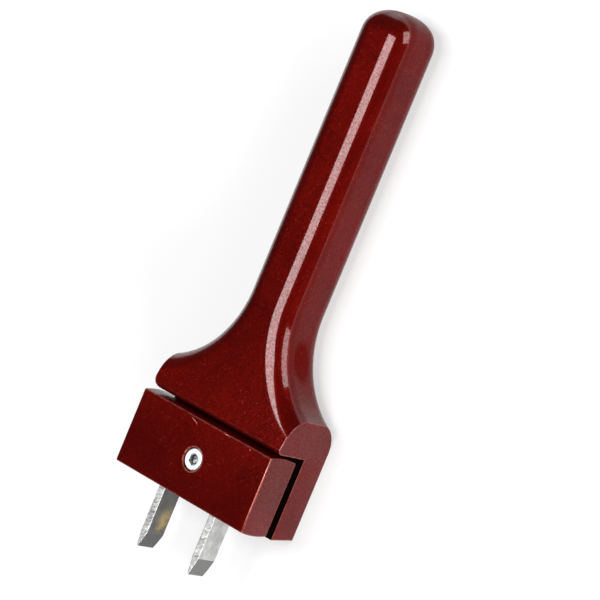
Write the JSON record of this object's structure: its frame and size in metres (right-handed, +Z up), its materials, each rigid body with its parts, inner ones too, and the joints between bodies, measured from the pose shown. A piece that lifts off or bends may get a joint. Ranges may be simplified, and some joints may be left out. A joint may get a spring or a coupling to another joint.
{
  "type": "electrode holder",
  "caption": "Hand-held electrode holder: cast grip with a flared head, a screwed clamp block and flat chisel-ended electrodes.",
  "frame": {"origin": "middle of the bounding box's bottom face, on the surface that the holder lies on", "axes": "+X along the wide head, +Y along the grip from the electrodes to the domed end, +Z up out of the clamp block's front face; the flat back lies on z = 0"},
  "size_m": [0.0698, 0.2264, 0.0313],
  "materials": {
    "paint": "gloss wine-red paint with fine metallic flake on cast aluminium",
    "zinc": "bright zinc plate",
    "plain_steel": "plain turned steel",
    "spring_steel": "drawn spring wire",
    "laminate": "matt black insulating laminate",
    "electrode_steel": "ground steel with faint heat tint"
  },
  "bodies": {
    "handle": {"handle_casting": "paint", "thread_insert": "plain_steel", "guide_pin_left": "plain_steel", "guide_pin_right": "plain_steel", "backing_strip": "laminate", "opening_spring": "spring_steel"},
    "clamp": {"clamp_block": "paint", "screw_washer": "zinc"},
    "screw": {"clamp_screw": "zinc"},
    "left_electrode": {"electrode_left": "electrode_steel"},
    "right_electrode": {"electrode_right": "electrode_steel"}
  },
  "joints": [
    {"name": "clamp_slide", "type": "slide", "parent": "handle", "child": "clamp", "axis": [0, 0, 1], "range_m": [0, 0.0024], "deforming": ["opening_spring"]},
    {"name": "screw_turn", "type": "hinge", "parent": "clamp", "child": "screw", "pos_m": [0, -0.0718, 0.0259], "axis": [0, 0, 1], "range_deg": [0, 1081]},
    {"name": "electrode_left_slide", "type": "slide", "parent": "clamp", "child": "left_electrode", "axis": [0, -1, 0], "range_m": [0, 0.015]},
    {"name": "electrode_right_slide", "type": "slide", "parent": "clamp", "child": "right_electrode", "axis": [0, -1, 0], "range_m": [0, 0.015]}
  ],
  "couplings": [
    {"joint": "screw_turn", "follows": "clamp_slide", "rad_per_m": 7854}
  ]
}
